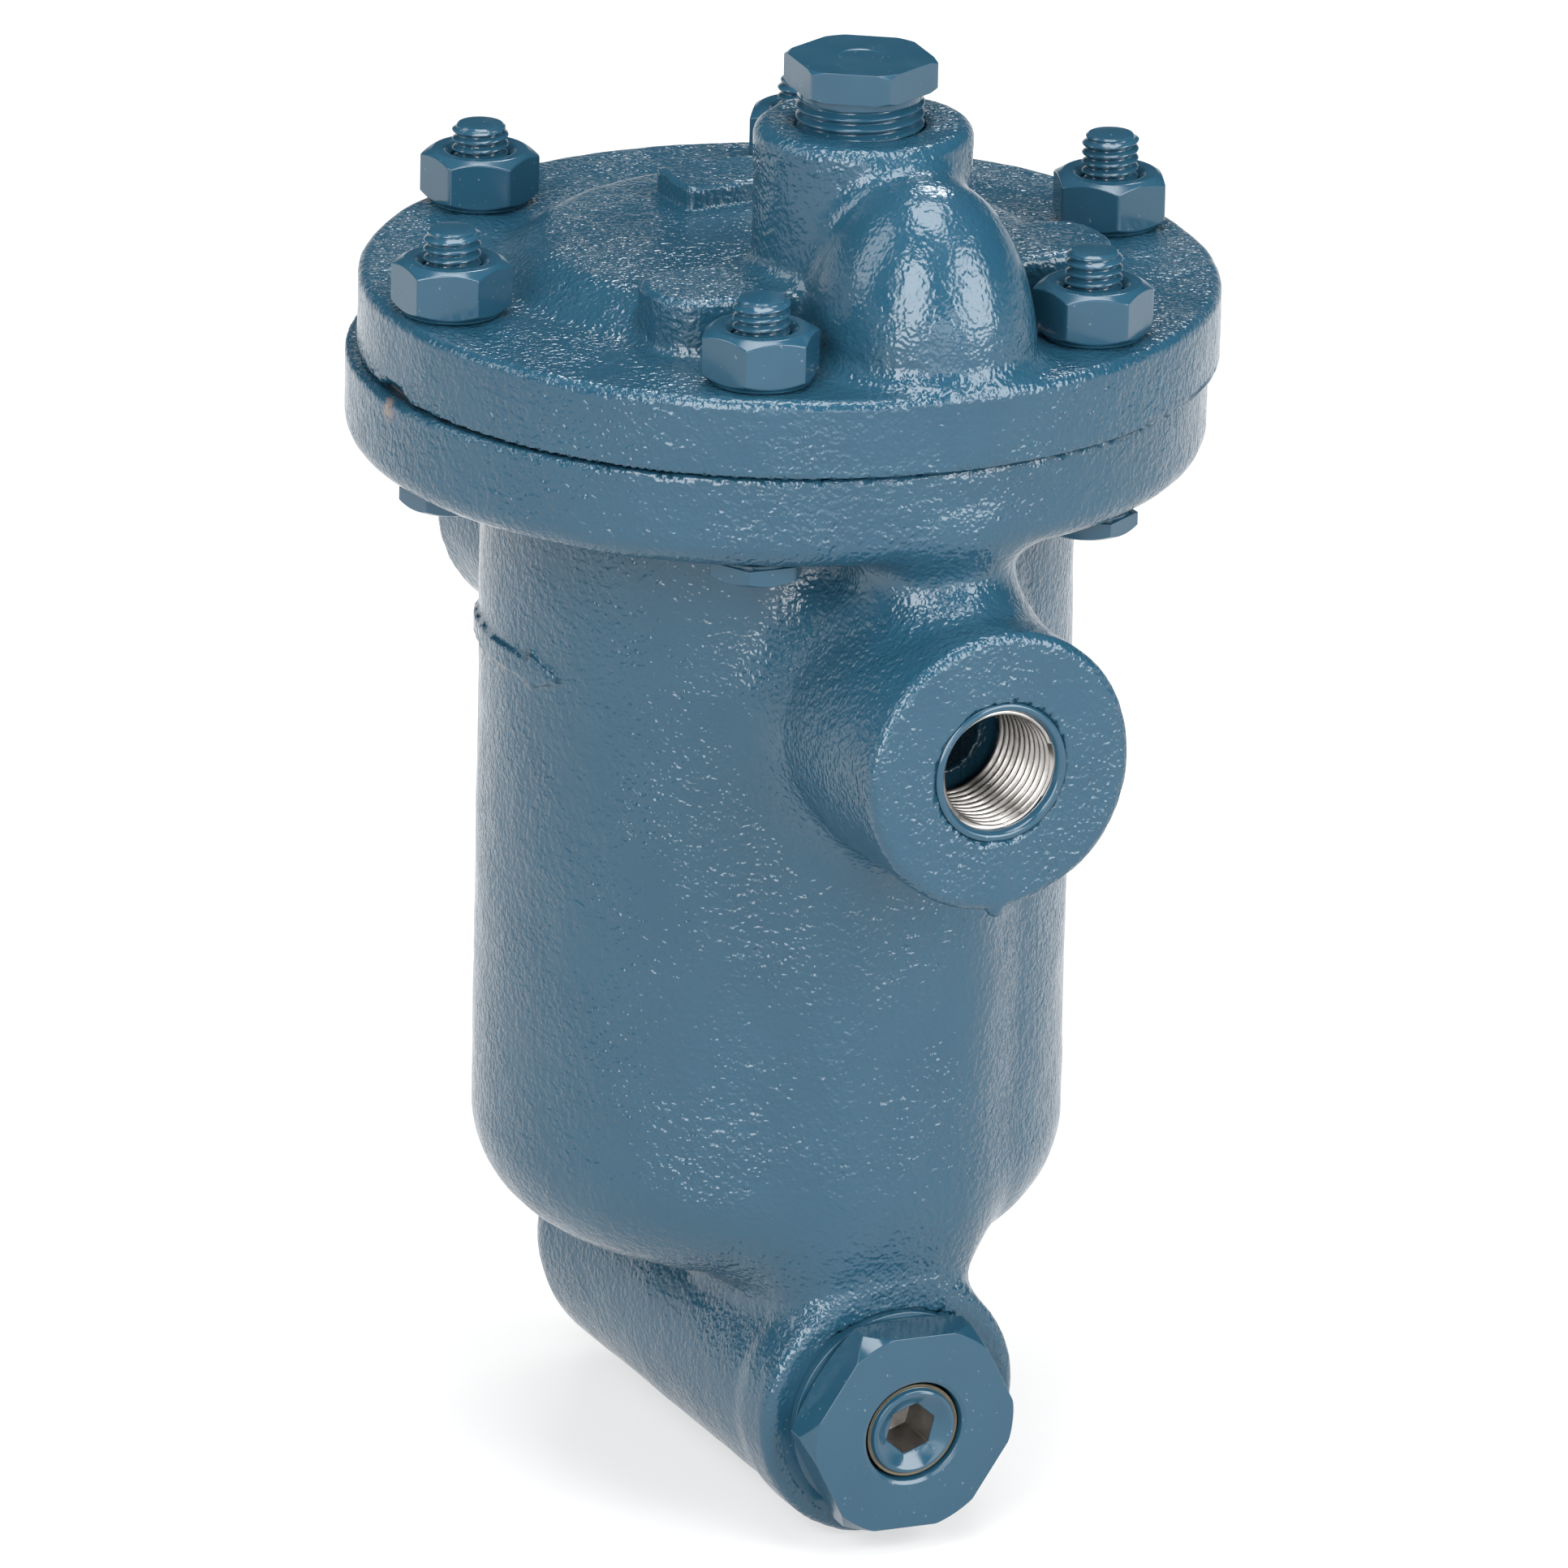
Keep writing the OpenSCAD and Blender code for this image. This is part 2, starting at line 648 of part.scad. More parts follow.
module strainer_gasket() {
  color(gasket_grey) on_body_axis() along_strainer(mouth_face) difference() {
    cylinder(r = collar_r + 1.6, h = 1);
    translate([0, 0, -eps]) cylinder(r = strainer_plug_r, h = 1 + 2 * eps);
  }
}

// Perforated tube that catches dirt.
module strainer_screen() {
  screen_t = 0.8;
  screen_len = 72;
  hole_rows = 8;
  color(stainless) on_body_axis() along_strainer(mouth_face - screen_len - 6) difference() {
    cylinder(r = screen_r, h = screen_len);
    translate([0, 0, -eps]) cylinder(r = screen_r - screen_t, h = screen_len + 2 * eps);
    for (row = [1 : hole_rows], turn = [0 : 45 : 135]) {
      translate([0, 0, row * 7]) rotate([90, 0, turn]) translate([0, 0, -20]) cylinder(r = 1.6, h = 40);
    }
  }
}

module screen_rims() {
  rim_t = 0.8;
  color(stainless) on_body_axis() for (place = [mouth_face - 77, mouth_face - 11]) along_strainer(place) difference() {
    cylinder(r = screen_r + rim_t, h = 3);
    translate([0, 0, -eps]) cylinder(r = screen_r, h = 3 + 2 * eps);
  }
}

// Socket-head pipe plug in the strainer cap, flush with its face.
module blowdown_plug() {
  plug_len = 13;
  socket_af = 7.94;
  color(bare_steel) on_body_axis() along_strainer(hex_front - plug_len - 0.2) difference() {
    cylinder(r = blowdown_r, h = plug_len);
    translate([0, 0, plug_len - 7]) rotate([0, 0, -12]) hex_prism(socket_af, 8);
  }
}

body();
inlet_tube();
cap_gasket();
cap_bolts();
cap();
cap_nuts();
valve_seat();
guide_bracket();
guide_pins();
bracket_screws();
bucket_shell();
bucket_weight_ring();
bucket_clip();
clip_rivets();
lever();
valve();
valve_retainer();
test_plug();
strainer_cap();
strainer_gasket();
strainer_screen();
screen_rims();
blowdown_plug();
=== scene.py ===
"""Steam trap: castings grown from distance fields, turned and threaded hardware, painted and bare metal."""
from math import ceil, cos, pi, radians, sin, tan

import bpy
import numpy as np
from mathutils import Matrix, Vector


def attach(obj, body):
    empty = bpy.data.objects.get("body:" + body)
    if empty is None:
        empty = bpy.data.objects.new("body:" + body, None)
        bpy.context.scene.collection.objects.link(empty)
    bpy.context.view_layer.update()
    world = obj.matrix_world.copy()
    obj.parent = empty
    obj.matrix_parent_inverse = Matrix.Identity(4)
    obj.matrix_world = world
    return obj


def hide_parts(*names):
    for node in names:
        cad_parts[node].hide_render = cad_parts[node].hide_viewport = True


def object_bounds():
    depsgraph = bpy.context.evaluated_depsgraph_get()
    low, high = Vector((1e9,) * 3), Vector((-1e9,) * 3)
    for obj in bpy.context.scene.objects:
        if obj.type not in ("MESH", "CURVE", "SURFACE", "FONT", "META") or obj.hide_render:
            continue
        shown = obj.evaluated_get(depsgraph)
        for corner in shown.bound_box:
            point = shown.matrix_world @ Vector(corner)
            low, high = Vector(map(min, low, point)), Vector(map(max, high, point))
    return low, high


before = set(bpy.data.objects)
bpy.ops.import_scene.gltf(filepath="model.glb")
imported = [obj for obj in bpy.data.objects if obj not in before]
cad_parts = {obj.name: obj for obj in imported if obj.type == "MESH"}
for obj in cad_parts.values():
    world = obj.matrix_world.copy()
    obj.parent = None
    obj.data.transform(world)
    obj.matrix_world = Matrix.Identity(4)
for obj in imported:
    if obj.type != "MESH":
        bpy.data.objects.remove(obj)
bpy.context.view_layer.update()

# ---------------------------------------------------------------------------------------------
# Sizes in millimetres, from the body axis at the height of the cap joint (z = 0), +X downstream.
# ---------------------------------------------------------------------------------------------
PORT_REACH, PORT_DROP = 82.5, 48.9
PORT_BOSS_R, PORT_BORE_R, PORT_THREAD_DEPTH = 23.7, 11.6, 20.0
BARREL_R, BARREL_TAPER, BODY_DEPTH = 49.3, 0.0012, 152.4
CHAMBER_R, CHAMBER_DEPTH = 42.6, 138.0
FLANGE_R, BODY_FLANGE_T, CAP_FLANGE_T, GASKET_T = 71.4, 16.5, 13.3, 0.8
CAP_RIM_SHIFT, BODY_RIM_SHIFT = (1.4, 0.6), (-0.3, -0.7)  # both rims are a little off the bolt circle
TONGUE_HALF_W, TONGUE_FRONT_X = 14.0, 55.5
FRONT_RIB_HALF_W, FRONT_RIB_X, FRONT_RIB_LEAN = 16.7, 52.1, 0.05
REAR_RIB_X, REAR_RIB_R = -55.0, 16.0
ELBOW_R, ELBOW_Z = 18.0, -152.0
OUTLET_DUCT_X, OUTLET_DUCT_R, INLET_DUCT_R = 52.5, 5.0, 7.0

CROWN_R, CROWN_TOP, CROWN_SPHERE_R = 44.5, 19.9, 600.0
FOOT_TOP, BARS_TOP = 23.7, 22.8
HUMP_X, HUMP_HALF, HUMP_POWER = 50.0, (21.2, 18.2, 30.0), 2.1
SEAT_X, SEAT_BOSS_R, SEAT_BOSS_TOP = 28.3, 18.0, 46.7

BOLT_CIRCLE_R, BOLT_R, BOLT_HOLE_R, BOLT_PITCH = 60.7, 4.75, 5.2, 25.4 / 16
BOLT_CENTRES = [(BOLT_CIRCLE_R * cos(radians(30 + 60 * k)), BOLT_CIRCLE_R * sin(radians(30 + 60 * k)))
                for k in range(6)]
BOLT_HEAD_AF, BOLT_HEAD_H = 14.3, 3.5
BOLT_STAND_OUT = (5.6, 6.7, 5.3, 4.5, 5.2, 5.1)
NUT_AF, NUT_H = 17.46, 9.0
NUT_TURN = (7, 41, 25, 4, 0, 20)

PIPE_PITCH = 25.4 / 14
TEST_PLUG_AF, TEST_PLUG_NECK, TEST_PLUG_H = 22.2, 5.9, 5.2
TEST_PLUG_SHIFT = (-0.3, -0.6)  # its hole is drilled off the seat's axis
STRAINER_DROP, STRAINER_SLOPE = 168.5, radians(4.5)
STRAINER_R, STRAINER_BACK_R = 22.0, 25.0
STRAINER_BACK, STRAINER_FRONT = 45.0, 46.3
STRAINER_COLLAR, STRAINER_CAP_AF, STRAINER_CAP_H = 3.0, 34.9, 8.0
BLOWDOWN_R, SOCKET_AF = 8.5, 7.94

ORIGIN = np.array([PORT_REACH, 0.0, PORT_DROP])  # the body axis at the cap joint, in the frame of the CAD
MM = 0.001


# ---------------------------------------------------------------------------------------------
# Distance fields. Each takes arrays of coordinates in millimetres and returns millimetres.
# ---------------------------------------------------------------------------------------------
def union(a, b, r):
    """Union with a fillet of radius r."""
    u, v = np.maximum(r - a, 0), np.maximum(r - b, 0)
    return np.maximum(r, np.minimum(a, b)) - np.sqrt(u * u + v * v)


def cut(a, b, r):
    """Intersection with a rounded edge of radius r; cut(a, -b, r) takes b away."""
    u, v = np.maximum(r + a, 0), np.maximum(r + b, 0)
    return np.minimum(-r, np.maximum(a, b)) + np.sqrt(u * u + v * v)


def ramp(x, low, high):
    """Smooth step from 0 at low to 1 at high."""
    t = np.clip((x - low) / (high - low), 0, 1)
    return t * t * (3 - 2 * t)


def disc(x, y, z, r, low, high, low_edge, high_edge):
    """Upright round disc with its own rounding at the lower and upper edge."""
    side = np.hypot(x, y) - r
    return cut(cut(side, low - z, low_edge), z - high, high_edge)


def drilled(radial, r, along, middle, half):
    """Bore of radius r that reaches half to both sides of middle along its axis."""
    return np.maximum(radial - r, np.abs(along - middle) - half)


def bolt_holes(x, y):
    """The six bolt holes in plan."""
    return np.minimum.reduce([np.hypot(x - cx, y - cy) - BOLT_HOLE_R for cx, cy in BOLT_CENTRES])


def rounded_box(x, y, half_x, half_y, r):
    """Rounded rectangle in plan."""
    qx, qy = np.abs(x) - half_x + r, np.abs(y) - half_y + r
    return np.hypot(np.maximum(qx, 0), np.maximum(qy, 0)) + np.minimum(np.maximum(qx, qy), 0) - r


def strainer_axes(x, z):
    """Distance along the strainer's axis and height above it."""
    c, s = cos(STRAINER_SLOPE), sin(STRAINER_SLOPE)
    return x * c - (z + STRAINER_DROP) * s, x * s + (z + STRAINER_DROP) * c


def lattice_noise(x, y, z, size, seed):
    """Smooth value noise from -1 to 1 with cells of the given size."""
    x, y, z = x / size, y / size, z / size
    ix, iy, iz = np.floor(x).astype(np.int64), np.floor(y).astype(np.int64), np.floor(z).astype(np.int64)
    fx, fy, fz = x - ix, y - iy, z - iz
    fx, fy, fz = (f * f * (3 - 2 * f) for f in (fx, fy, fz))

    def corner(i, j, k):
        h = (ix + i) * 374761393 + (iy + j) * 668265263 + (iz + k) * 2147483647 + seed * 1274126177
        h = (h ^ (h >> 13)) * 1274126177 & 0xFFFFFFFF
        h = (h ^ (h >> 16)) * 2246822519 & 0xFFFFFFFF
        return ((h ^ (h >> 15)) & 0xFFFF) / 32767.5 - 1

    def mix(a, b, f):
        return a + (b - a) * f

    low = mix(mix(corner(0, 0, 0), corner(1, 0, 0), fx), mix(corner(0, 1, 0), corner(1, 1, 0), fx), fy)
    high = mix(mix(corner(0, 0, 1), corner(1, 0, 1), fx), mix(corner(0, 1, 1), corner(1, 1, 1), fx), fy)
    return mix(low, high, fz)


def sand(x, y, z, seed):
    """Unevenness of a sand-cast skin."""
    return 0.16 * lattice_noise(x, y, z, 9.0, seed) + 0.07 * lattice_noise(x, y, z, 3.4, seed + 1)


def port_boss(x, y, z, side):
    reach = side * x
    radial = np.hypot(y, z + PORT_DROP)
    boss = cut(radial - PORT_BOSS_R, reach - PORT_REACH, 1.8)
    return cut(boss, 36 - reach, 1)


def rim_tongue(x, y, z, side):
    """Web from the flange's rim down to the top of a port boss, with a full round front."""
    round_front = np.hypot(side * x - TONGUE_FRONT_X, y) - TONGUE_HALF_W
    web = np.maximum(np.abs(y) - TONGUE_HALF_W, np.abs(side * x - 40) - 15.5)
    return cut(cut(np.minimum(round_front, web), z + 9, 2), -z - PORT_DROP, 1)


def front_rib(x, y, z):
    """Low rib, closer to the axis as it goes down to the strainer's mouth."""
    front = FRONT_RIB_X + FRONT_RIB_LEAN * (z + 72)
    rib = rounded_box(x - front + 20, y, 20, FRONT_RIB_HALF_W, 9)
    return cut(cut(rib, -z - STRAINER_DROP + 3, 1), z + 30, 1)


def rear_rib(x, y, z):
    """Rib round the inlet's duct, and the elbow that turns it into the strainer."""
    column = cut(np.hypot(x - REAR_RIB_X, y) - REAR_RIB_R, ELBOW_Z - z, 0.5)
    bend_x = REAR_RIB_X + ELBOW_R
    ring = np.hypot(np.hypot(x - bend_x, z - ELBOW_Z) - ELBOW_R, y) - REAR_RIB_R
    elbow = np.maximum(np.maximum(ring, z - ELBOW_Z - 0.3), x - bend_x - 4)
    return np.minimum(np.maximum(column, z + 5), elbow)


def strainer_barrel(x, y, z):
    """Tapered tube with a rounded closed end and a thicker ring at its mouth."""
    along, above = strainer_axes(x, z)
    widening = (STRAINER_BACK_R - STRAINER_R) / (STRAINER_BACK + STRAINER_FRONT)
    tube_r = STRAINER_R + widening * (STRAINER_FRONT - along)
    tube = cut(cut(np.hypot(above, y) - tube_r, -along - STRAINER_BACK, 12), along - STRAINER_FRONT, 1.0)
    mouth = cut(np.hypot(above - 0.3, y - 0.7) - 22.7, 36 - along, 4)
    return union(tube, cut(mouth, along - STRAINER_FRONT, 1.0), 3)


def body_outside(x, y, z):
    barrel = disc(x, y, z, BARREL_R + BARREL_TAPER * -z, -BODY_DEPTH, 5, 20, 1)
    flange = disc(x - BODY_RIM_SHIFT[0], y - BODY_RIM_SHIFT[1], z, FLANGE_R, -BODY_FLANGE_T, 5, 5, 1)
    shape = union(barrel, flange, 4)
    shape = union(shape, np.minimum(rim_tongue(x, y, z, 1), rim_tongue(x, y, z, -1)), 5)
    shape = union(shape, front_rib(x, y, z), 9)
    shape = union(shape, rear_rib(x, y, z), 5)
    for side in (1, -1):
        shape = union(shape, port_boss(x, y, z, side), 7)
    shape = union(shape, strainer_barrel(x, y, z), 3.5)
    # mould's parting line in front, and a little flash under the outlet
    parting = (1 - ramp(np.abs(y), 1.0, 2.2)) * ramp(x, 44, 52) * ramp(-z, 15, 20)
    flash = np.sqrt((x - 81.0) ** 2 + y * y + (z + 72.9) ** 2) - 1.2
    return union(shape - 0.2 * parting, flash, 0.8)


def flow_arrow(x, y, z):
    """Raised arrow wrapped on the barrel's side, pointing downstream."""
    across = np.arctan2(x, -y) * BARREL_R
    up = z + PORT_DROP - 0.8 - 0.012 * (across - 15)
    shaft = np.maximum(np.abs(across + 8) - 18, np.abs(up) - 2.0)
    head = np.maximum(np.abs(up) * 0.93 + (across - 15.2) * 0.37, 7.0 - across)
    outline = np.maximum(np.minimum(shaft, head), y)
    return cut(outline, np.hypot(x, y) - BARREL_R - 0.9, 0.45)


def body_inside(x, y, z):
    along, above = strainer_axes(x, z)
    from_axis, from_ports, from_strainer = np.hypot(x, y), np.hypot(y, z + PORT_DROP), np.hypot(above, y)
    outlet_duct = np.hypot(x - OUTLET_DUCT_X, y) - OUTLET_DUCT_R
    inlet_duct = np.hypot(x - REAR_RIB_X, y) - INLET_DUCT_R
    return np.minimum.reduce([
        disc(x, y, z, CHAMBER_R, -CHAMBER_DEPTH, 20, 12, 1),
        np.maximum(from_ports - PORT_BORE_R, 60.5 - np.abs(x)),
        drilled(from_ports, 7.0, x, 58, 5.5),
        drilled(from_ports, 7.0, x, -59, 4.5),
        np.maximum(outlet_duct, -z - PORT_DROP),
        np.maximum(inlet_duct, np.maximum(z + PORT_DROP, -z - 164.2)),
        drilled(from_strainer, INLET_DUCT_R, along, -42, 14),
        drilled(from_strainer, 17.5, along, 10, 44),
        drilled(from_strainer, 18.15, along, 50, 18),
        drilled(from_axis, 9.1, z, -140, 7),
        drilled(from_axis, 7.0, z, -154, 8),
        np.maximum(bolt_holes(x, y), -z - 30),
    ])


def body_field(x, y, z):
    outside = body_outside(x, y, z)
    outside = union(outside, flow_arrow(x, y, z), 0.6)
    outside = outside + sand(x, y, z, 3) * ramp(-z, 1.5, 6)
    # in front the rims of the two castings come closer to each other than at the gasket
    closer = 0.5 * ramp(np.hypot(x, y), 68.8, 69.6) * ramp(x + 0.3 * y, -60, 10)
    shape = cut(outside, z + GASKET_T - closer, 0.6)
    return cut(shape, -body_inside(x, y, z), 0.5)


def outlet_hump(x, y, z):
    """Half a slightly squared ellipsoid standing on the cap's rim."""
    u, v, w = (np.abs(t) / half for t, half in zip((x - HUMP_X, y, z - CAP_FLANGE_T), HUMP_HALF))
    grow = HUMP_POWER - 1
    level = (u ** HUMP_POWER + v ** HUMP_POWER + w ** HUMP_POWER) ** (1 / HUMP_POWER) + 1e-6
    slope = np.sqrt(sum((t ** grow / half) ** 2 for t, half in zip((u, v, w), HUMP_HALF)))
    return np.maximum((level - 1) / (slope / level ** grow + 1e-6), 4 - z)


def cap_outside(x, y, z):
    flange = disc(x - CAP_RIM_SHIFT[0], y - CAP_RIM_SHIFT[1], z, FLANGE_R, -5, CAP_FLANGE_T, 1, 1.7)
    r = np.hypot(x, y)
    crown = cut(r - CROWN_R, z - CROWN_TOP + r * r / (2 * CROWN_SPHERE_R), 6.0)
    shape = union(flange, crown, 5)
    foot = cut(rounded_box(x + 21.5, y, 6.5, 10, 1.2), z - FOOT_TOP, 0.5)
    shape = union(shape, foot, 0.6)
    bars = cut(rounded_box(x - SEAT_X - 1, y - 2.25, 9.5, 41.75, 8), z - BARS_TOP, 1.5)
    shape = union(shape, bars, 1.8)
    boss = disc(x - SEAT_X, y, z, SEAT_BOSS_R, -5, SEAT_BOSS_TOP, 1, 2.4)
    shape = union(shape, boss, 3)
    return union(shape, outlet_hump(x, y, z), 4)


def cap_inside(x, y, z):
    from_seat = np.hypot(x - SEAT_X, y)
    from_plug = np.hypot(x - SEAT_X - TEST_PLUG_SHIFT[0], y - TEST_PLUG_SHIFT[1])
    return np.minimum.reduce([
        disc(x, y, z, 42.0, -20, 7.0, 1, 2),
        np.maximum(from_seat - 6, z - 16),
        drilled(from_seat, 9, z, 30, 16),
        np.maximum(from_plug - 10.6 - np.maximum(z - 46, 0), 34 - z),
        drilled(np.hypot(y, z - 24), OUTLET_DUCT_R, x, 40, 14),
        np.maximum(np.hypot(x - OUTLET_DUCT_X, y) - OUTLET_DUCT_R, z - 27),
        np.maximum(bolt_holes(x, y), z - 16),
    ])


def cap_field(x, y, z):
    outside = cap_outside(x, y, z) + sand(x, y, z, 8) * ramp(z, 1.5, 6)
    shape = cut(outside, -z, 0.6)
    pry_notch = (np.sqrt(((x + 1) / 5.5) ** 2 + ((y + 71.5) / 3.0) ** 2 + (z / 1.5) ** 2) - 1) * 1.5
    shape = cut(shape, -pry_notch, 0.3)
    return cut(shape, -cap_inside(x, y, z), 0.5)


# ---------------------------------------------------------------------------------------------
# Meshes
# ---------------------------------------------------------------------------------------------
def gradient(field, p, h=0.05):
    """Slope of a field at each point, by central differences."""
    g = np.empty_like(p)
    for k in range(3):
        step = np.zeros(3)
        step[k] = h
        ahead, behind = p + step, p - step
        g[:, k] = (field(*ahead.T) - field(*behind.T)) / (2 * h)
    return g


def surface_net(field, low, high, step):
    """Quads on the zero level of a field, with each vertex moved onto the surface."""
    axes = [np.arange(lo, hi + step, step) for lo, hi in zip(low, high)]
    value = np.empty([len(a) for a in axes], np.float32)
    for i, x in enumerate(axes[0]):
        yy, zz = np.meshgrid(axes[1], axes[2], indexing="ij")
        value[i] = field(np.full_like(yy, x), yy, zz)
    inside = value < 0
    corners = [(i, j, k) for i in (0, 1) for j in (0, 1) for k in (0, 1)]
    n = np.array(value.shape) - 1

    def block(a, c):
        return a[c[0]:c[0] + n[0], c[1]:c[1] + n[1], c[2]:c[2] + n[2]]

    count = sum(block(inside, c).astype(np.int8) for c in corners)
    cells = np.argwhere((count > 0) & (count < 8))
    number = np.full(n, -1, np.int64)
    number[tuple(cells.T)] = np.arange(len(cells))
    total, hits = np.zeros((len(cells), 3)), np.zeros(len(cells))
    for c in corners:
        for axis in range(3):
            if c[axis]:
                continue
            d = np.array(c)
            d[axis] = 1
            a = value[tuple((cells + c).T)]
            b = value[tuple((cells + d).T)]
            crossing = (a < 0) != (b < 0)
            t = np.where(crossing, a / np.where(crossing, a - b, 1), 0)
            point = np.array(c, float) + np.outer(t, d - np.array(c))
            total += point * crossing[:, None]
            hits += crossing
    p = (cells + total / hits[:, None]) * step + np.array([a[0] for a in axes])
    quads = []
    for axis in range(3):
        u, v = (axis + 1) % 3, (axis + 2) % 3
        lower = [slice(1, -1)] * 3
        upper = [slice(1, -1)] * 3
        lower[axis], upper[axis] = slice(0, -1), slice(1, None)
        a, b = inside[tuple(lower)], inside[tuple(upper)]
        for out_first, edges in ((False, np.argwhere(a & ~b)), (True, np.argwhere(~a & b))):
            base = edges + 1
            base[:, axis] -= 1
            ring = []
            for du, dv in ((0, 0), (1, 0), (1, 1), (0, 1)):
                cell = base.copy()
                cell[:, u] += du - 1
                cell[:, v] += dv - 1
                ring.append(number[tuple(cell.T)])
            ring = np.stack(ring, 1)
            quads.append(ring[:, ::-1] if out_first else ring)
    for _ in range(3):
        g = gradient(field, p)
        length = np.maximum((g * g).sum(1), 0.25)
        move = -g * (field(*p.T) / length)[:, None]
        limit = np.maximum(np.linalg.norm(move, axis=1) / (0.5 * step), 1)
        p += move / limit[:, None]
    return p, np.concatenate(quads)


def finish_piece(name, verts_mm, faces, body, nodes, slot, material):
    """Mesh object in the frame of the CAD, from vertices in millimetres about the body axis."""
    mesh = bpy.data.meshes.new(name)
    verts = (np.asarray(verts_mm, float) + ORIGIN) * MM
    if isinstance(faces, np.ndarray):
        mesh.vertices.add(len(verts))
        mesh.vertices.foreach_set("co", verts.ravel())
        mesh.loops.add(faces.size)
        mesh.loops.foreach_set("vertex_index", faces.ravel().astype(np.int32))
        mesh.polygons.add(len(faces))
        mesh.polygons.foreach_set("loop_start", np.arange(0, faces.size, faces.shape[1], dtype=np.int32))
        mesh.update(calc_edges=True)
    else:
        mesh.from_pydata(verts.tolist(), [], faces)
    mesh.validate()
    obj = bpy.data.objects.new(name, mesh)
    bpy.context.scene.collection.objects.link(obj)
    obj.data.materials.append(material)
    mesh.polygons.foreach_set("use_smooth", [True] * len(mesh.polygons))
    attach(obj, body)
    if nodes:
        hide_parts(*nodes)
    return obj


def casting(name, field, low, high, step, body, node, material):
    """One skin from a field, shaded with the field's own slope."""
    p, quads = surface_net(field, low, high, step)
    obj = finish_piece(name, p, quads, body, [node], "cast_paint", material)
    g = gradient(field, p)
    g /= np.maximum(np.linalg.norm(g, axis=1), 1e-9)[:, None]
    obj.data.normals_split_custom_set_from_vertices(g.tolist())


# Turned and hexagonal shapes: rings of points about an axis, joined one to the next.
def lathe(rings, segments, close=True):
    """Vertices about +Z and quads. A ring is (radius, height), or a function of the angle that gives them."""
    verts, faces = [], []
    for ring in rings:
        for k in range(segments):
            a = 2 * pi * k / segments
            r, h = ring(a) if callable(ring) else ring
            verts.append((r * cos(a), r * sin(a), h))
    last = len(rings) if close else len(rings) - 1
    for i in range(last):
        j = (i + 1) % len(rings)
        for k in range(segments):
            m = (k + 1) % segments
            faces.append((i * segments + k, i * segments + m, j * segments + m, j * segments + k))
    return verts, faces


def reversed_faces(faces):
    return [face[::-1] for face in faces]


def hexagon(a, af, turn):
    """Distance from the centre to a hexagon's side in the direction a; a corner lies at turn."""
    return af / 2 / cos((a - turn) % (pi / 3) - pi / 6)


def hexagonal(af, turn, height, grow=0.0):
    """Ring with a hexagon's outline."""
    return lambda a: (hexagon(a, af, turn) + grow, height)


def chamfered(af, turn, flat, height, down=False, slope=pi / 6):
    """Ring where a cone of the given slope cuts a hexagonal prism, at the given height of its flat."""
    rise = tan(slope) if down else -tan(slope)
    return lambda a: (hexagon(a, af, turn), height + max(0.0, hexagon(a, af, turn) - flat) * rise)


def end_face(af, turn, flat, height):
    """Ring that bounds the flat end of a hexagon whose corners are turned off."""
    return lambda a: (min(hexagon(a, af, turn), flat), height)


def placed(verts, matrix):
    """Vertices moved by a matrix in millimetres."""
    m = np.array(matrix)
    v = np.asarray(verts, float)
    return v @ m[:3, :3].T + m[:3, 3]


def soften(obj, width):
    """Rounded edges, and a smooth look kept off the flats."""
    bevel = obj.modifiers.new("edges", "BEVEL")
    bevel.width = width * MM
    bevel.segments = 2
    bevel.limit_method = "ANGLE"
    bevel.angle_limit = radians(25)
    bevel.harden_normals = True
    bevel.use_clamp_overlap = True
    weld = obj.modifiers.new("weld", "WELD")
    weld.merge_threshold = 0.00001
    obj.modifiers.move(1, 0)


RINGS_PER_TURN = 10


def thread(root, crest, pitch, low, high, segments, inner=False):
    """Helical thread as a grid about +Z. An outer thread's profile runs out at its upper end."""
    n_rings = int(ceil((high - low) / pitch * RINGS_PER_TURN)) + 1
    verts, faces = [], []
    for i in range(n_rings):
        z = low + (high - low) * i / (n_rings - 1)
        run_out = 1.0 if inner else max(min(1.0, (high - z) / (0.3 * pitch)), 0.3)
        for k in range(segments):
            a = 2 * pi * k / segments
            phase = (z / pitch - k / segments) % 1.0
            wave = (0.5 - 0.5 * cos(2 * pi * phase)) ** 0.8
            r = root + (crest - root) * wave * run_out
            verts.append((r * cos(a), r * sin(a), z))
    for i in range(n_rings - 1):
        for k in range(segments):
            m = (k + 1) % segments
            faces.append((i * segments + k, i * segments + m, (i + 1) * segments + m, (i + 1) * segments + k))
    return verts, reversed_faces(faces) if inner else faces


def join_parts(parts):
    """One list of vertices and faces from several."""
    verts, faces = [], []
    for v, f in parts:
        base = len(verts)
        verts.extend(map(tuple, v))
        faces.extend(tuple(i + base for i in face) for face in f)
    return verts, faces


# ---------------------------------------------------------------------------------------------
# Materials
# ---------------------------------------------------------------------------------------------
def new_material(name):
    material = bpy.data.materials.new(name)
    material.use_nodes = True
    tree = material.node_tree
    tree.nodes.clear()
    out = tree.nodes.new("ShaderNodeOutputMaterial")
    shader = tree.nodes.new("ShaderNodeBsdfPrincipled")
    tree.links.new(shader.outputs[0], out.inputs["Surface"])
    coords = tree.nodes.new("ShaderNodeTexCoord")
    return material, tree, shader, coords.outputs["Object"]


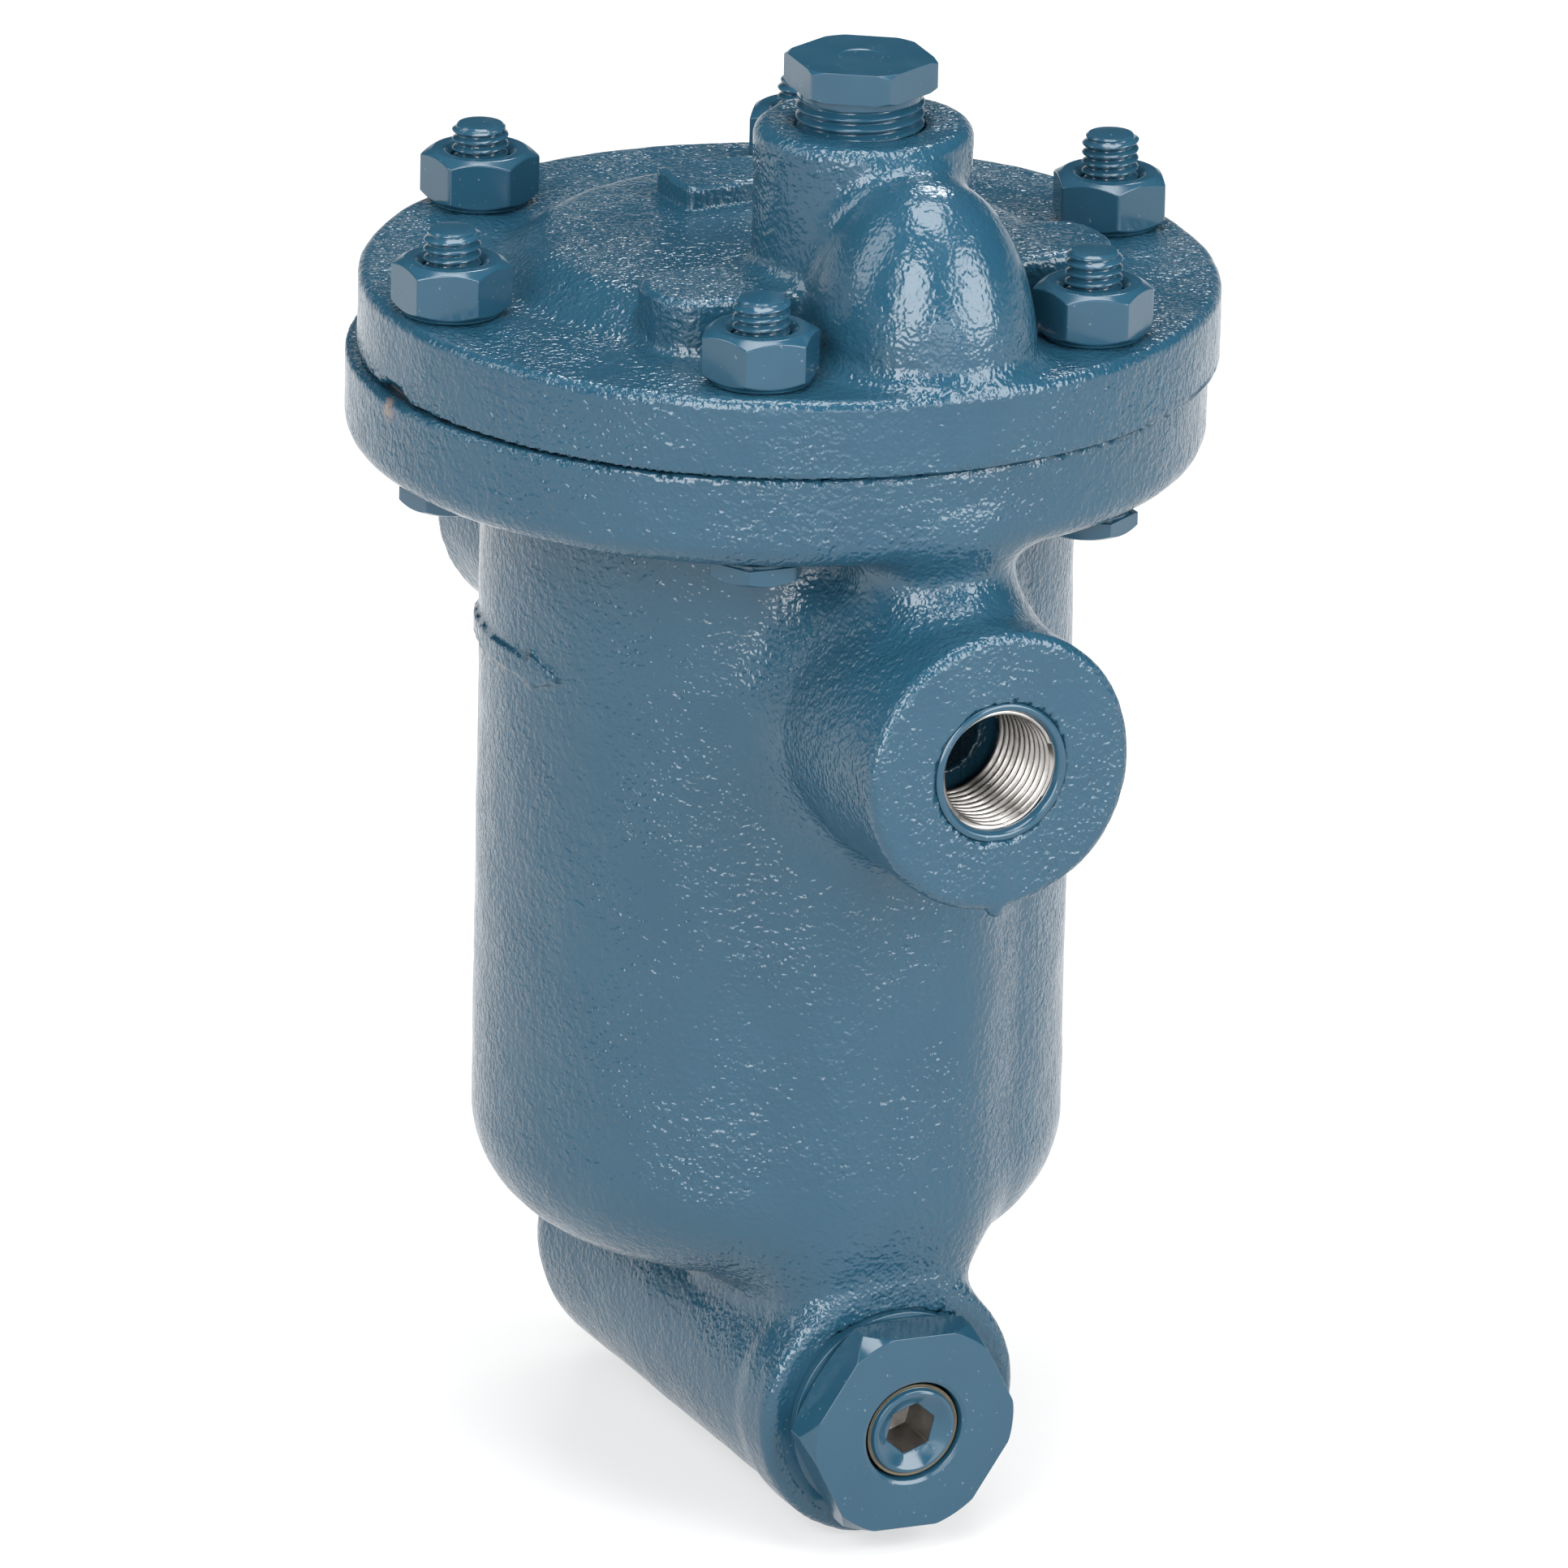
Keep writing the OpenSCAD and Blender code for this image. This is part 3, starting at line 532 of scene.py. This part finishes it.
def noise(tree, coords, size_mm, detail=2.0, rough=0.5, stretch=None):
    """Noise with grains of the given size, optionally scaled apart along the three axes."""
    node = tree.nodes.new("ShaderNodeTexNoise")
    node.inputs["Scale"].default_value = 1000.0 / size_mm
    node.inputs["Detail"].default_value = detail
    node.inputs["Roughness"].default_value = rough
    source = coords
    if stretch:
        mapping = tree.nodes.new("ShaderNodeMapping")
        mapping.inputs["Scale"].default_value = stretch
        tree.links.new(coords, mapping.inputs["Vector"])
        source = mapping.outputs[0]
    tree.links.new(source, node.inputs["Vector"])
    return node.outputs["Fac"]


def spread(tree, value, low, high, to_low=0.0, to_high=1.0):
    """Value mapped from low..high to to_low..to_high, clamped."""
    node = tree.nodes.new("ShaderNodeMapRange")
    for key, v in (("From Min", low), ("From Max", high), ("To Min", to_low), ("To Max", to_high)):
        node.inputs[key].default_value = v
    tree.links.new(value, node.inputs["Value"])
    return node.outputs["Result"]


def combine(tree, kind, a, b):
    """Math node on two sockets or numbers."""
    node = tree.nodes.new("ShaderNodeMath")
    node.operation = kind
    for slot_index, v in ((0, a), (1, b)):
        if isinstance(v, (int, float)):
            node.inputs[slot_index].default_value = v
        else:
            tree.links.new(v, node.inputs[slot_index])
    return node.outputs[0]


def mix_colour(tree, fac, a, b):
    """Colour between a and b; inputs 0, 6 and 7 and output 2 belong to the Mix node's colour form."""
    node = tree.nodes.new("ShaderNodeMix")
    node.data_type = "RGBA"
    for key, v in ((0, fac), (6, a), (7, b)):
        if isinstance(v, tuple):
            node.inputs[key].default_value = (*v, 1.0)
        elif isinstance(v, (int, float)):
            node.inputs[key].default_value = v
        else:
            tree.links.new(v, node.inputs[key])
    return node.outputs[2]


def bump(tree, height, distance_mm, strength):
    node = tree.nodes.new("ShaderNodeBump")
    node.inputs["Strength"].default_value = strength
    node.inputs["Distance"].default_value = distance_mm * MM
    tree.links.new(height, node.inputs["Height"])
    return node.outputs["Normal"]


def near(tree, coords, centre_mm, full_mm, none_mm):
    """1 within full_mm of a point given from the body axis at the cap joint, falling to 0 at none_mm."""
    node = tree.nodes.new("ShaderNodeVectorMath")
    node.operation = "DISTANCE"
    tree.links.new(coords, node.inputs[0])
    node.inputs[1].default_value = tuple((Vector(centre_mm) + Vector(ORIGIN)) * MM)
    return spread(tree, node.outputs["Value"], full_mm * MM, none_mm * MM, 1.0, 0.0)


DEEP_BLUE, PALE_BLUE = (0.0095, 0.046, 0.080), (0.0145, 0.058, 0.093)
CHIPPED_IRON, DUST = (0.17, 0.13, 0.11), (0.34, 0.38, 0.40)


def cast_grain(tree, coords):
    """Height of the casting's grain from 0 up, calmer in patches and round the outlet hump."""
    lumps = spread(tree, noise(tree, coords, 1.3, 1.0), 0.38, 0.66)
    fine = noise(tree, coords, 0.65, 1.0)
    pits = spread(tree, noise(tree, coords, 2.6, 2.0, 0.6), 0.26, 0.36)
    height = combine(tree, "ADD", lumps, combine(tree, "MULTIPLY", fine, 0.9))
    height = combine(tree, "ADD", height, combine(tree, "MULTIPLY", pits, 0.8))
    patches = spread(tree, noise(tree, coords, 16), 0.35, 0.60, 0.45, 1.0)
    hump = near(tree, coords, (HUMP_X, 0, 24), 16, 25)
    calm = combine(tree, "SUBTRACT", 1.0, combine(tree, "MULTIPLY", hump, 0.75))
    return combine(tree, "MULTIPLY", height, combine(tree, "MULTIPLY", patches, calm))


def paint(name, roughness, grain_mm=0.0):
    """Thick blue-grey enamel; grain_mm is the height of the casting's grain, 0 for machined parts."""
    material, tree, shader, coords = new_material(name)
    tint = mix_colour(tree, noise(tree, coords, 14, 3), DEEP_BLUE, PALE_BLUE)
    gloss = spread(tree, noise(tree, coords, 5), 0.3, 0.7, roughness - 0.04, roughness + 0.06)
    shader.inputs["IOR"].default_value = 1.52
    if grain_mm > 0:
        normal = bump(tree, cast_grain(tree, coords), grain_mm, 1.0)
        chip = combine(tree, "MULTIPLY", near(tree, coords, (0, -72, -2.2), 0.6, 2.6),
                       spread(tree, noise(tree, coords, 1.6, 3), 0.38, 0.5))
        tint = mix_colour(tree, chip, tint, CHIPPED_IRON)
        gloss = combine(tree, "ADD", gloss, combine(tree, "MULTIPLY", chip, 0.35))
    else:
        normal = bump(tree, noise(tree, coords, 6), 0.06, 0.6)
        specks = spread(tree, noise(tree, coords, 0.55, 0.0), 0.81, 0.85, 0.0, 0.25)
        tint = mix_colour(tree, specks, tint, DUST)
    tree.links.new(tint, shader.inputs["Base Color"])
    tree.links.new(gloss, shader.inputs["Roughness"])
    tree.links.new(normal, shader.inputs["Normal"])
    return material


def bare_metal(name, colour, roughness, scratch_mm, streak=None, stain=0.0):
    """Metal with darker clouds, fine scratches that streak may stretch, and brown stains."""
    material, tree, shader, coords = new_material(name)
    shader.inputs["Metallic"].default_value = 1.0
    dark = tuple(c * 0.55 for c in colour)
    tint = mix_colour(tree, spread(tree, noise(tree, coords, 3.0, 4), 0.35, 0.75, 0.0, 0.6), colour, dark)
    if stain:
        rust = spread(tree, noise(tree, coords, 5.0, 5), 0.52, 0.72, 0.0, stain)
        tint = mix_colour(tree, rust, tint, (0.12, 0.08, 0.05))
    tree.links.new(tint, shader.inputs["Base Color"])
    gloss = spread(tree, noise(tree, coords, 1.5, 3), 0.3, 0.7, roughness - 0.08, roughness + 0.1)
    tree.links.new(gloss, shader.inputs["Roughness"])
    normal = bump(tree, noise(tree, coords, 0.6, 3, 0.6, streak), scratch_mm, 0.6)
    tree.links.new(normal, shader.inputs["Normal"])
    return material


def fibre(name):
    """Dull graphite-grey gasket board."""
    material, tree, shader, coords = new_material(name)
    tint = mix_colour(tree, noise(tree, coords, 1.2, 4), (0.02, 0.022, 0.025), (0.06, 0.062, 0.065))
    tree.links.new(tint, shader.inputs["Base Color"])
    tree.links.new(spread(tree, noise(tree, coords, 2, 2), 0.3, 0.7, 0.7, 0.9), shader.inputs["Roughness"])
    tree.links.new(bump(tree, noise(tree, coords, 0.5, 3), 0.05, 0.7), shader.inputs["Normal"])
    return material


CAST = paint("cast_enamel", 0.16, grain_mm=0.135)
SMOOTH = paint("smooth_enamel", 0.14)
THREAD_METAL = bare_metal("cut_thread", (0.40, 0.385, 0.37), 0.34, 0.02, stain=0.3)
STEEL = bare_metal("bare_steel", (0.33, 0.315, 0.30), 0.38, 0.03, stain=0.35)
SEALANT = bare_metal("thread_sealant", (0.16, 0.14, 0.10), 0.5, 0.05, stain=0.5)
STAINLESS = bare_metal("stainless", (0.40, 0.40, 0.39), 0.28, 0.01, streak=(1, 1, 0.1))
FIBRE = fibre("gasket_fibre")


# ---------------------------------------------------------------------------------------------
# Castings
# ---------------------------------------------------------------------------------------------
BODY_STEP = 1.25
CAP_STEP = 1.0

casting("body_casting", body_field, (-86, -76, -200), (86, 76, 3), BODY_STEP, "trap_body", "body", CAST)
casting("cap_casting", cap_field, (-74, -76, -4), (77, 76, 51), CAP_STEP, "cap_assembly", "cap", CAST)


# ---------------------------------------------------------------------------------------------
# Ports
# ---------------------------------------------------------------------------------------------
def port_insert(name, side):
    """Painted lead-in chamfer and bare thread of one port."""
    face = PORT_REACH
    seat = Matrix.Translation((0, 0, -PORT_DROP)) @ Matrix.Rotation(side * pi / 2, 4, "Y")
    verts, faces = lathe([
        (11.9, face - 1.2),
        (11.75, face - 0.02),
        (10.9, face),
        (10.6, face - 0.25),
        (10.1, face - 1.5),
        (10.1, face - 3.0),
        (11.9, face - 3.0),
    ], 96)
    faces = reversed_faces(faces)
    finish_piece(name + "_chamfer", placed(verts, seat), faces, "trap_body", None, "cast_paint", SMOOTH)
    verts, faces = thread(10.45, 9.35, PIPE_PITCH, face - PORT_THREAD_DEPTH, face - 1.2, 96, inner=True)
    helix = finish_piece(name + "_thread", placed(verts, seat), faces, "trap_body", None, "plain_steel",
                         THREAD_METAL)
    wall = helix.modifiers.new("wall", "SOLIDIFY")
    wall.thickness = 0.8 * MM
    wall.offset = -1


port_insert("outlet", 1)
port_insert("inlet", -1)


# ---------------------------------------------------------------------------------------------
# Cap bolts and nuts
# ---------------------------------------------------------------------------------------------
BOLT_STEPS = 64


def bolt_parts(k):
    """Hexagon head, shank and threaded end of one bolt, about its own axis."""
    top = CAP_FLANGE_T + NUT_H + BOLT_STAND_OUT[k]
    under = -BODY_FLANGE_T
    shank_end = CAP_FLANGE_T + 2
    turn = radians(17 * k)
    flat = BOLT_HEAD_AF / 2 * 0.95
    head = lathe([
        (0.01, under - BOLT_HEAD_H),
        (flat, under - BOLT_HEAD_H),
        chamfered(BOLT_HEAD_AF, turn, flat, under - BOLT_HEAD_H, down=True),
        hexagonal(BOLT_HEAD_AF, turn, under - 0.5),
        (flat, under - 0.4),
        (flat, under),
        (BOLT_R, under),
        (BOLT_R, shank_end),
        (4.0, shank_end),
    ], 96, close=False)
    helix_verts, helix_faces = thread(3.95, BOLT_R, BOLT_PITCH, shank_end, top - 0.4, BOLT_STEPS)
    tip_verts, tip_faces = lathe([
        (4.0, top - 0.3),
        (3.75, top - 0.03),
        (3.55, top),
        (0.01, top),
    ], BOLT_STEPS, close=False)
    tip = len(helix_verts)
    end = tip - BOLT_STEPS
    bridge = []
    for i in range(BOLT_STEPS):
        j = (i + 1) % BOLT_STEPS
        bridge.append((end + i, end + j, tip + j, tip + i))
    faces = helix_faces + bridge + [tuple(i + tip for i in face) for face in tip_faces]
    return join_parts([head, (helix_verts + tip_verts, faces)])


def nut_parts(k):
    """Nut with a turned foot and top chamfer, about its bolt's axis."""
    turn = radians(NUT_TURN[k])
    flat = NUT_AF / 2 * 0.90
    foot = NUT_AF / 2 * 0.955
    return lathe([
        (BOLT_R + 0.12, 0.0),
        (foot, 0.0),
        (foot, 0.45),
        chamfered(NUT_AF, turn, foot, 0.55, down=True),
        chamfered(NUT_AF, turn, flat, NUT_H),
        (flat, NUT_H),
        (6.2, NUT_H),
        (5.9, NUT_H - 0.15),
        (BOLT_R + 0.12, NUT_H - 1.2),
    ], 144)


bolts, nuts = [], []
for k, (centre_x, centre_y) in enumerate(BOLT_CENTRES):
    verts, faces = bolt_parts(k)
    bolts.append((placed(verts, Matrix.Translation((centre_x, centre_y, 0))), faces))
    verts, faces = nut_parts(k)
    nuts.append((placed(verts, Matrix.Translation((centre_x, centre_y, CAP_FLANGE_T + 0.15))), faces))
bolt_set = finish_piece("bolt_set", *join_parts(bolts), "trap_body", ["cap_bolts"], "bolt_paint", SMOOTH)
soften(bolt_set, 0.3)
nut_set = finish_piece("nut_set", *join_parts(nuts), "cap_assembly", ["cap_nuts"], "bolt_paint", SMOOTH)
soften(nut_set, 0.35)


# ---------------------------------------------------------------------------------------------
# Test plug
# ---------------------------------------------------------------------------------------------
def make_test_plug():
    """Low hexagon head with a turned top and bottom, a neck and a pipe thread."""
    seat_top = SEAT_BOSS_TOP + TEST_PLUG_NECK
    top = seat_top + TEST_PLUG_H
    turn = radians(-5.5)
    flat = TEST_PLUG_AF / 2 * 1.07
    head = lathe([
        (9.6, seat_top - 1.6),
        (10.3, seat_top - 1.4),
        (10.4, seat_top - 0.05),
        end_face(TEST_PLUG_AF, turn, flat, seat_top),
        chamfered(TEST_PLUG_AF, turn, flat, seat_top, down=True),
        chamfered(TEST_PLUG_AF, turn, flat, top),
        end_face(TEST_PLUG_AF, turn, flat, top),
        (3.7, top),
        (3.5, top - 0.12),
        (0.01, top - 0.12),
    ], 144, close=False)
    helix = thread(9.5, 10.6, PIPE_PITCH, 36.0, seat_top - 1.2, 96)
    verts, faces = join_parts([head, helix])
    seat = Matrix.Translation((SEAT_X + TEST_PLUG_SHIFT[0], TEST_PLUG_SHIFT[1], 0))
    plug = finish_piece("test_plug_piece", placed(verts, seat), faces, "test_plug", ["test_plug"],
                        "bolt_paint", SMOOTH)
    soften(plug, 0.4)


make_test_plug()


# ---------------------------------------------------------------------------------------------
# Strainer cap and blowdown plug
# ---------------------------------------------------------------------------------------------
STRAINER_FRAME = Matrix.Translation((0, 0, -STRAINER_DROP)) @ Matrix.Rotation(pi / 2 + STRAINER_SLOPE, 4, "Y")
CAP_BACK = STRAINER_FRONT + STRAINER_COLLAR
CAP_FRONT = CAP_BACK + STRAINER_CAP_H
PLUG_STEPS = 144


def make_strainer_cap():
    """Large hexagon with a steep front chamfer, a collar and a hollow threaded end."""
    turn = radians(27.7)
    flat = STRAINER_CAP_AF / 2 * 0.97
    front_flat = STRAINER_CAP_AF / 2 * 1.05
    verts, faces = lathe([
        (BLOWDOWN_R + 0.25, CAP_FRONT - 9),
        (15.4, CAP_FRONT - 9),
        (15.4, STRAINER_FRONT - 12),
        (17.9, STRAINER_FRONT - 12),
        (17.9, STRAINER_FRONT + 1),
        (18.2, STRAINER_FRONT + 1),
        (18.2, CAP_BACK - 0.3),
        (flat, CAP_BACK - 0.05),
        chamfered(STRAINER_CAP_AF, turn, flat, CAP_BACK, down=True),
        chamfered(STRAINER_CAP_AF, turn, front_flat, CAP_FRONT, slope=radians(60)),
        end_face(STRAINER_CAP_AF, turn, front_flat, CAP_FRONT),
        (9.6, CAP_FRONT),
        (8.9, CAP_FRONT - 0.35),
        (BLOWDOWN_R + 0.25, CAP_FRONT - 1.0),
    ], 144)
    faces = reversed_faces(faces)
    cap = finish_piece("strainer_cap_piece", placed(verts, STRAINER_FRAME), faces, "strainer_insert",
                       ["strainer_cap"], "bolt_paint", SMOOTH)
    soften(cap, 0.4)


def make_blowdown_plug():
    """Painted over with the cap: a shallow dish round the bare socket, inside a groove of thread sealant."""
    turn = radians(-12)

    def lip(a):
        return 6.9, CAP_FRONT - 0.1 + (0.10 + 0.10 * sin(3 * a) + 0.08 * sin(7 * a + 1)) * 0.3

    verts, faces = lathe([
        (0.01, CAP_FRONT - 13),
        (8.0, CAP_FRONT - 13),
        (8.25, CAP_FRONT - 1.6),
        (8.3, CAP_FRONT - 0.9),
        (7.75, CAP_FRONT - 1.0),
        (7.45, CAP_FRONT - 0.25),
        lip,
        (6.3, CAP_FRONT - 0.35),
        (5.1, CAP_FRONT - 1.3),
        hexagonal(SOCKET_AF, turn, CAP_FRONT - 1.6, grow=0.12),
        hexagonal(SOCKET_AF, turn, CAP_FRONT - 1.8),
        hexagonal(SOCKET_AF, turn, CAP_FRONT - 10),
        (0.01, CAP_FRONT - 10.6),
    ], PLUG_STEPS, close=False)
    plug = finish_piece("blowdown_plug_piece", placed(verts, STRAINER_FRAME), faces, "blowdown_plug",
                        ["blowdown_plug"], "bolt_paint", SMOOTH)
    plug.data.materials.append(SEALANT)
    plug.data.materials.append(STEEL)
    # bands between two rings, counted from the back: thread 0-1, groove 2-3, painted dish 4-9, socket 10-11
    bands = (2, 2, 1, 1, 0, 0, 0, 0, 0, 0, 2, 2)
    for face in plug.data.polygons:
        face.material_index = bands[face.index // PLUG_STEPS]
    soften(plug, 0.15)


make_strainer_cap()
make_blowdown_plug()


# ---------------------------------------------------------------------------------------------
# CAD nodes that stay as they are, with their own finish
# ---------------------------------------------------------------------------------------------
OWN_FINISH = {
    STAINLESS: ("inlet_tube", "valve_seat", "guide_bracket", "guide_pins", "bracket_screws", "bucket_shell",
                "bucket_clip", "lever", "valve", "strainer_screen", "screen_rims"),
    STEEL: ("bucket_weight_ring", "clip_rivets", "valve_retainer"),
    FIBRE: ("cap_gasket",),
    SMOOTH: ("strainer_gasket",),
}
for material, names in OWN_FINISH.items():
    for node_name in names:
        node_obj = bpy.data.objects[node_name]
        node_obj.data.materials.clear()
        node_obj.data.materials.append(material)


# ---------------------------------------------------------------------------------------------
# Floor, lights, camera
# ---------------------------------------------------------------------------------------------
scene = bpy.context.scene
lowest = float(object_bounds()[0][2])
bpy.ops.mesh.primitive_plane_add(size=14, location=(PORT_REACH * MM, 0, lowest))
floor = bpy.context.object
floor.name = "floor"
floor_material, _, floor_shader, _ = new_material("pale_floor")
floor_shader.inputs["Base Color"].default_value = (0.35, 0.35, 0.35, 1)
floor_shader.inputs["Emission Color"].default_value = (1, 1, 1, 1)
floor_shader.inputs["Emission Strength"].default_value = 0.55
floor_shader.inputs["Roughness"].default_value = 0.9
floor_shader.inputs["Specular IOR Level"].default_value = 0.0
floor.data.materials.append(floor_material)

# Studio walls: bright at the floor, dark at the height of the camera, a little light from the ceiling.
world = bpy.data.worlds.new("studio")
scene.world = world
world.use_nodes = True
sky = world.node_tree
split = sky.nodes.new("ShaderNodeSeparateXYZ")
sky.links.new(sky.nodes.new("ShaderNodeTexCoord").outputs["Generated"], split.inputs[0])
walls = spread(sky, split.outputs["Z"], 0.04, 0.18, 0.8, 0.03)
ceiling = spread(sky, split.outputs["Z"], 0.4, 0.95, 0.0, 0.2)
sky.links.new(combine(sky, "ADD", walls, ceiling), sky.nodes["Background"].inputs["Strength"])
sky.nodes["Background"].inputs["Color"].default_value = (0.95, 0.98, 1.0, 1)

# The point that the lights and the camera face, 77.851 mm below the cap joint.
TARGET = Vector((PORT_REACH - 0.587, 2.497, PORT_DROP - 77.851)) * MM
CAMERA_AZIMUTH, CAMERA_ELEVATION, CAMERA_ROLL = 63.05, 19.28, radians(1.166)
CAMERA_DISTANCE = 3.14326
LENS_MM, SENSOR_MM = 432.28, 36.0


def direction_to(azimuth, elevation):
    """From the part to a light or camera; azimuth in degrees from -Y towards +X, elevation in degrees."""
    a, e = radians(azimuth), radians(elevation)
    return Vector((sin(a) * cos(e), -cos(a) * cos(e), sin(e)))


def softbox(name, azimuth, elevation, distance, width, height, radiance):
    """Area light that faces the part, with its sizes in metres."""
    back = direction_to(azimuth, elevation)
    data = bpy.data.lights.new(name, "AREA")
    data.shape = "RECTANGLE"
    data.size, data.size_y = width, height
    data.energy = radiance * pi * width * height
    lamp = bpy.data.objects.new(name, data)
    facing = back.to_track_quat("Z", "Y").to_matrix().to_4x4()
    lamp.matrix_world = Matrix.Translation(TARGET + back * distance) @ facing
    scene.collection.objects.link(lamp)


softbox("overhead", 63, 86, 2.2, 1.4, 1.4, 8.0)
softbox("behind", 236, 50, 2.6, 0.9, 0.6, 13)
softbox("left_panel", 38, 25, 3.7, 2.0, 2.9, 9.2)
softbox("right_panel", 119, 25, 3.7, 2.3, 2.9, 8.6)
softbox("front", 78, 2, 4.2, 2.6, 2.4, 3.4)
softbox("far_left", -25, 30, 3.6, 1.2, 2.4, 4)

back = direction_to(CAMERA_AZIMUTH, CAMERA_ELEVATION)
level = Vector((cos(radians(CAMERA_AZIMUTH)), sin(radians(CAMERA_AZIMUTH)), 0))
upright = back.cross(level)
right = cos(CAMERA_ROLL) * level + sin(CAMERA_ROLL) * upright
up = cos(CAMERA_ROLL) * upright - sin(CAMERA_ROLL) * level
camera_data = bpy.data.cameras.new("camera")
camera_data.sensor_width = SENSOR_MM
camera_data.lens = LENS_MM
camera_data.clip_end = 50
camera = bpy.data.objects.new("camera", camera_data)
turned = Matrix((right, up, back)).transposed().to_4x4()
camera.matrix_world = Matrix.Translation(TARGET + back * CAMERA_DISTANCE) @ turned
scene.collection.objects.link(camera)
scene.camera = camera
scene.view_settings.view_transform = "Standard"
